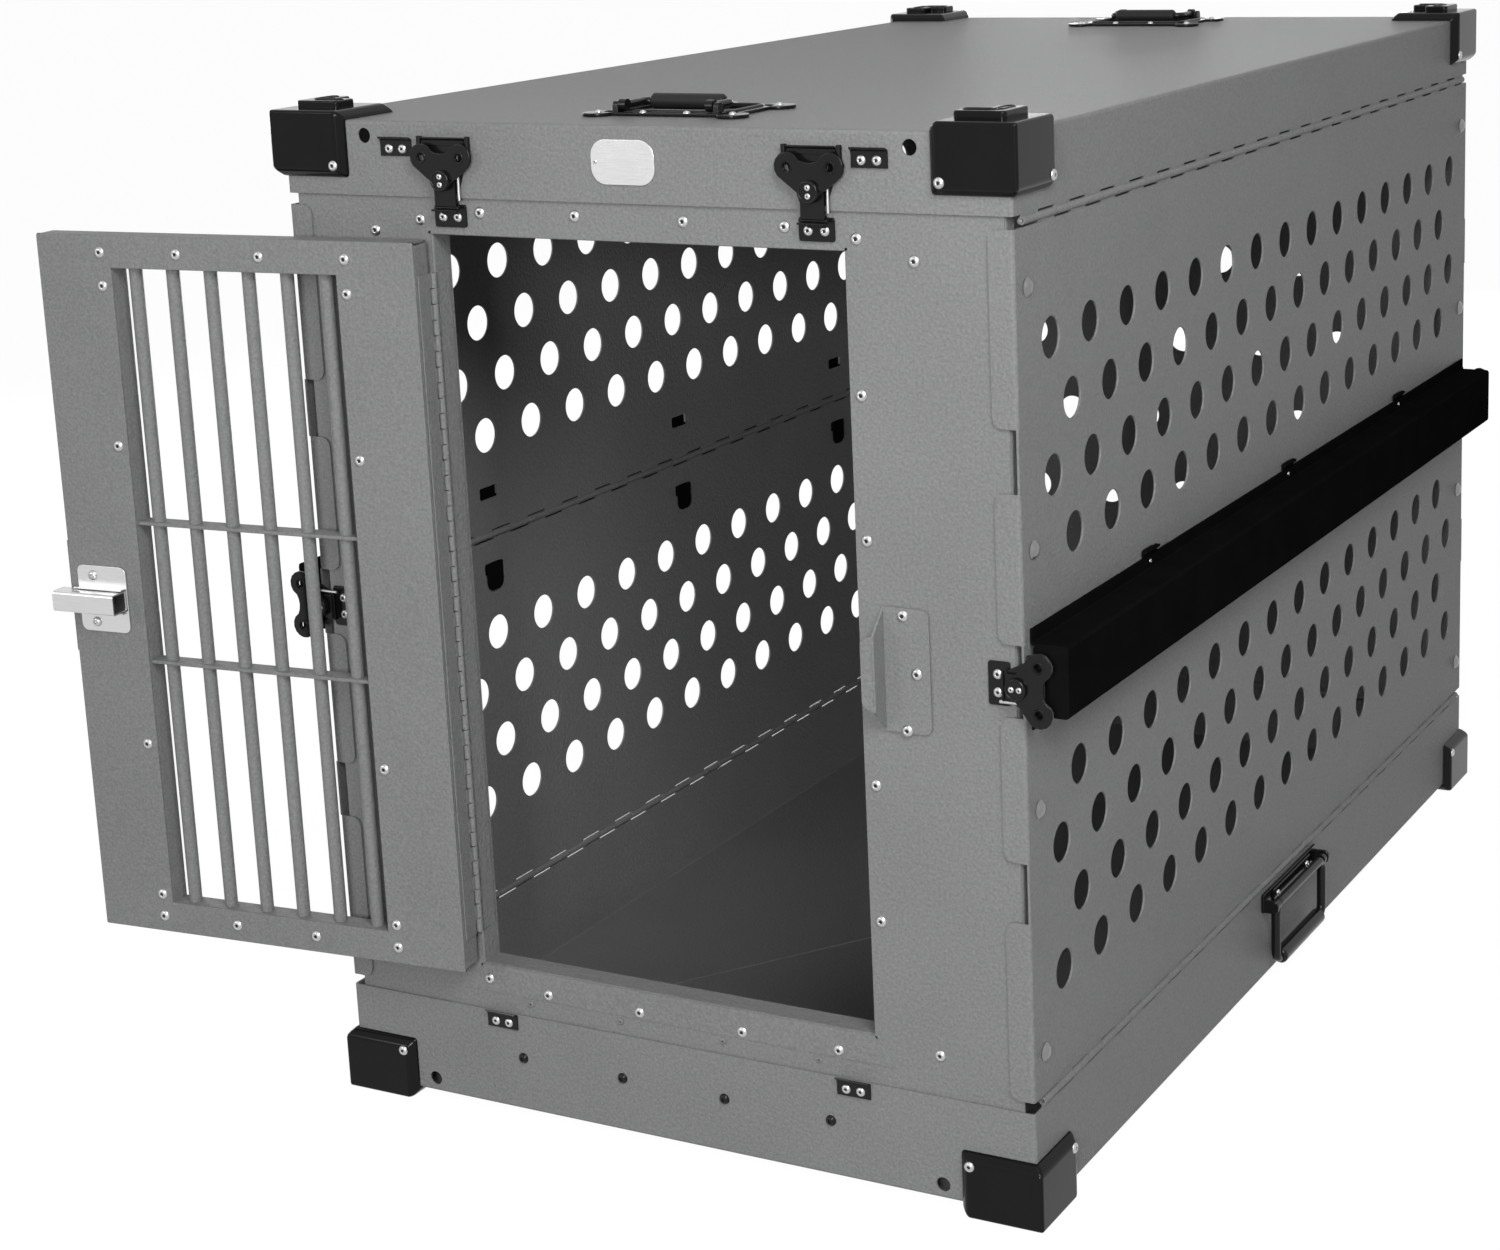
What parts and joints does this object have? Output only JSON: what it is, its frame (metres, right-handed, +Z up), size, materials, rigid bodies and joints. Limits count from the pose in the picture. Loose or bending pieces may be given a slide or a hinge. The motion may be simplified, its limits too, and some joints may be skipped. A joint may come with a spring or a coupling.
{
  "type": "folding dog crate",
  "caption": "Folding sheet-metal dog crate with perforated side walls, a barred swinging door, black corner guards, twist latches, side rails and carrying handles.",
  "frame": {"origin": "middle of the cabin floor, the base tray's upper face, 10 mm above what the corner guards stand on", "axes": "+X to the right of someone facing the door wall, the door wall faces -Y, +Z up"},
  "size_m": [0.91, 1.2318, 0.858],
  "materials": {
    "grey_coat": "fine-textured grey powder coat on sheet aluminium",
    "black_rail": "satin black coat on folded aluminium",
    "black_guard": "glossy black moulding",
    "black_steel": "semi-gloss black coat on pressed steel",
    "black_grip": "matte black moulded grip over wire",
    "bare_steel": "bare bright steel"
  },
  "bodies": {
    "root": {"base_tray": "grey_coat", "lid_tray": "grey_coat", "left_wall_upper_half": "grey_coat", "left_wall_lower_half": "grey_coat", "right_wall_upper_half": "grey_coat", "right_wall_lower_half": "grey_coat", "left_hinge_pin_top": "bare_steel", "left_hinge_pin_middle": "bare_steel", "left_hinge_pin_bottom": "bare_steel", "right_hinge_pin_top": "bare_steel", "right_hinge_pin_middle": "bare_steel", "right_hinge_pin_bottom": "bare_steel", "front_wall": "grey_coat", "front_wall_hinge_pin": "bare_steel", "back_wall_hinge_pin": "bare_steel", "door_hinge_pin": "bare_steel", "strike_guard": "grey_coat", "name_plate": "bare_steel", "base_guard_front_left": "black_guard", "base_guard_front_right": "black_guard", "base_guard_rear_left": "black_guard", "base_guard_rear_right": "black_guard", "lid_guard_front_left": "black_guard", "lid_guard_front_right": "black_guard", "lid_guard_rear_left": "black_guard", "lid_guard_rear_right": "black_guard", "lid_handle_plate_front": "black_steel", "lid_handle_plate_rear": "black_steel", "base_handle_bracket_left": "black_steel", "base_handle_bracket_right": "black_steel"},
    "door": {"door_frame": "grey_coat", "door_liner": "grey_coat", "door_grille": "grey_coat", "door_hinge_leaf": "grey_coat", "door_latch_plate": "bare_steel", "door_pull": "grey_coat"},
    "bolt": {"door_bolt": "bare_steel"},
    "back_panel": {"back_wall": "grey_coat"},
    "left_rail": {"left_side_rail": "black_rail"},
    "right_rail": {"right_side_rail": "black_rail"},
    "lid_bail_front": {"lid_handle_bail_front": "black_grip"},
    "lid_bail_rear": {"lid_handle_bail_rear": "black_grip"},
    "base_bail_left": {"base_handle_bail_left": "black_grip"},
    "base_bail_right": {"base_handle_bail_right": "black_grip"},
    "wing_lid_front_left": {"latch_wing_lid_front_left": "black_steel"},
    "hook_lid_front_left": {"latch_hook_lid_front_left": "black_steel"},
    "wing_lid_front_right": {"latch_wing_lid_front_right": "black_steel"},
    "hook_lid_front_right": {"latch_hook_lid_front_right": "black_steel"},
    "wing_lid_rear_left": {"latch_wing_lid_rear_left": "black_steel"},
    "hook_lid_rear_left": {"latch_hook_lid_rear_left": "black_steel"},
    "wing_lid_rear_right": {"latch_wing_lid_rear_right": "black_steel"},
    "hook_lid_rear_right": {"latch_hook_lid_rear_right": "black_steel"},
    "wing_rail_front_left": {"latch_wing_rail_front_left": "black_steel"},
    "hook_rail_front_left": {"latch_hook_rail_front_left": "black_steel"},
    "wing_rail_front_right": {"latch_wing_rail_front_right": "black_steel"},
    "hook_rail_front_right": {"latch_hook_rail_front_right": "black_steel"},
    "wing_rail_rear_left": {"latch_wing_rail_rear_left": "black_steel"},
    "hook_rail_rear_left": {"latch_hook_rail_rear_left": "black_steel"},
    "wing_rail_rear_right": {"latch_wing_rail_rear_right": "black_steel"},
    "hook_rail_rear_right": {"latch_hook_rail_rear_right": "black_steel"}
  },
  "joints": [
    {"name": "door_swing", "type": "hinge", "parent": "root", "child": "door", "pos_m": [-0.184, -0.5711, 0.434], "axis": [0, 0, 1], "range_deg": [0, 175]},
    {"name": "door_bolt_slide", "type": "slide", "parent": "door", "child": "bolt", "axis": [0.9962, 0.0872, 0], "range_m": [0, 0.008], "stiffness_N_per_m": 200, "springref_m": -0.01},
    {"name": "back_wall_fold", "type": "hinge", "parent": "root", "child": "back_panel", "pos_m": [0, 0.5644, 0.07], "axis": [1, 0, 0], "range_deg": [0, 88]},
    {"name": "lid_bail_front_lift", "type": "hinge", "parent": "root", "child": "lid_bail_front", "pos_m": [0, -0.503, 0.8414], "axis": [1, 0, 0], "range_deg": [0, 90], "stiffness_Nm_per_rad": 0.1, "springref_deg": -28.65},
    {"name": "lid_bail_rear_lift", "type": "hinge", "parent": "root", "child": "lid_bail_rear", "pos_m": [0, 0.503, 0.8414], "axis": [-1, 0, 0], "range_deg": [0, 90], "stiffness_Nm_per_rad": 0.1, "springref_deg": -28.65},
    {"name": "base_bail_right_swing", "type": "hinge", "parent": "root", "child": "base_bail_right", "pos_m": [0.3364, 0, 0.07], "axis": [0, -1, 0], "range_deg": [0, 88]},
    {"name": "base_bail_left_swing", "type": "hinge", "parent": "root", "child": "base_bail_left", "pos_m": [-0.3364, 0, 0.07], "axis": [0, 1, 0], "range_deg": [0, 88]},
    {"name": "left_rail_lift", "type": "slide", "parent": "root", "child": "left_rail", "axis": [0, 0, 1], "range_m": [0, 0.0075]},
    {"name": "right_rail_lift", "type": "slide", "parent": "root", "child": "right_rail", "axis": [0, 0, 1], "range_m": [0, 0.0075]},
    {"name": "wing_lid_front_left_turn", "type": "hinge", "parent": "root", "child": "wing_lid_front_left", "pos_m": [-0.165, -0.57, 0.788], "axis": [0, -1, 0], "range_deg": [0, 180]},
    {"name": "hook_lid_front_left_draw", "type": "slide", "parent": "root", "child": "hook_lid_front_left", "axis": [0, 0, -1], "range_m": [0, 0.005]},
    {"name": "wing_lid_front_right_turn", "type": "hinge", "parent": "root", "child": "wing_lid_front_right", "pos_m": [0.165, -0.57, 0.788], "axis": [0, -1, 0], "range_deg": [0, 180]},
    {"name": "hook_lid_front_right_draw", "type": "slide", "parent": "root", "child": "hook_lid_front_right", "axis": [0, 0, -1], "range_m": [0, 0.005]},
    {"name": "wing_lid_rear_left_turn", "type": "hinge", "parent": "root", "child": "wing_lid_rear_left", "pos_m": [-0.165, 0.57, 0.788], "axis": [0, 1, 0], "range_deg": [0, 180]},
    {"name": "hook_lid_rear_left_draw", "type": "slide", "parent": "root", "child": "hook_lid_rear_left", "axis": [0, 0, -1], "range_m": [0, 0.005]},
    {"name": "wing_lid_rear_right_turn", "type": "hinge", "parent": "root", "child": "wing_lid_rear_right", "pos_m": [0.165, 0.57, 0.788], "axis": [0, 1, 0], "range_deg": [0, 180]},
    {"name": "hook_lid_rear_right_draw", "type": "slide", "parent": "root", "child": "hook_lid_rear_right", "axis": [0, 0, -1], "range_m": [0, 0.005]},
    {"name": "wing_rail_front_left_turn", "type": "hinge", "parent": "left_rail", "child": "wing_rail_front_left", "pos_m": [-0.322, -0.57, 0.426], "axis": [0, -1, 0], "range_deg": [0, 180]},
    {"name": "hook_rail_front_left_draw", "type": "slide", "parent": "left_rail", "child": "hook_rail_front_left", "axis": [1, 0, 0], "range_m": [0, 0.005]},
    {"name": "wing_rail_front_right_turn", "type": "hinge", "parent": "right_rail", "child": "wing_rail_front_right", "pos_m": [0.322, -0.57, 0.426], "axis": [0, -1, 0], "range_deg": [0, 180]},
    {"name": "hook_rail_front_right_draw", "type": "slide", "parent": "right_rail", "child": "hook_rail_front_right", "axis": [-1, 0, 0], "range_m": [0, 0.005]},
    {"name": "wing_rail_rear_left_turn", "type": "hinge", "parent": "left_rail", "child": "wing_rail_rear_left", "pos_m": [-0.322, 0.57, 0.426], "axis": [0, 1, 0], "range_deg": [0, 180]},
    {"name": "hook_rail_rear_left_draw", "type": "slide", "parent": "left_rail", "child": "hook_rail_rear_left", "axis": [1, 0, 0], "range_m": [0, 0.005]},
    {"name": "wing_rail_rear_right_turn", "type": "hinge", "parent": "right_rail", "child": "wing_rail_rear_right", "pos_m": [0.322, 0.57, 0.426], "axis": [0, 1, 0], "range_deg": [0, 180]},
    {"name": "hook_rail_rear_right_draw", "type": "slide", "parent": "right_rail", "child": "hook_rail_rear_right", "axis": [-1, 0, 0], "range_m": [0, 0.005]}
  ],
  "couplings": [
    {"joint": "hook_lid_front_left_draw", "follows": "wing_lid_front_left_turn", "m_per_rad": 0.0015915},
    {"joint": "hook_lid_front_right_draw", "follows": "wing_lid_front_right_turn", "m_per_rad": 0.0015915},
    {"joint": "hook_lid_rear_left_draw", "follows": "wing_lid_rear_left_turn", "m_per_rad": 0.0015915},
    {"joint": "hook_lid_rear_right_draw", "follows": "wing_lid_rear_right_turn", "m_per_rad": 0.0015915},
    {"joint": "hook_rail_front_left_draw", "follows": "wing_rail_front_left_turn", "m_per_rad": 0.0015915},
    {"joint": "hook_rail_front_right_draw", "follows": "wing_rail_front_right_turn", "m_per_rad": 0.0015915},
    {"joint": "hook_rail_rear_left_draw", "follows": "wing_rail_rear_left_turn", "m_per_rad": 0.0015915},
    {"joint": "hook_rail_rear_right_draw", "follows": "wing_rail_rear_right_turn", "m_per_rad": 0.0015915}
  ]
}
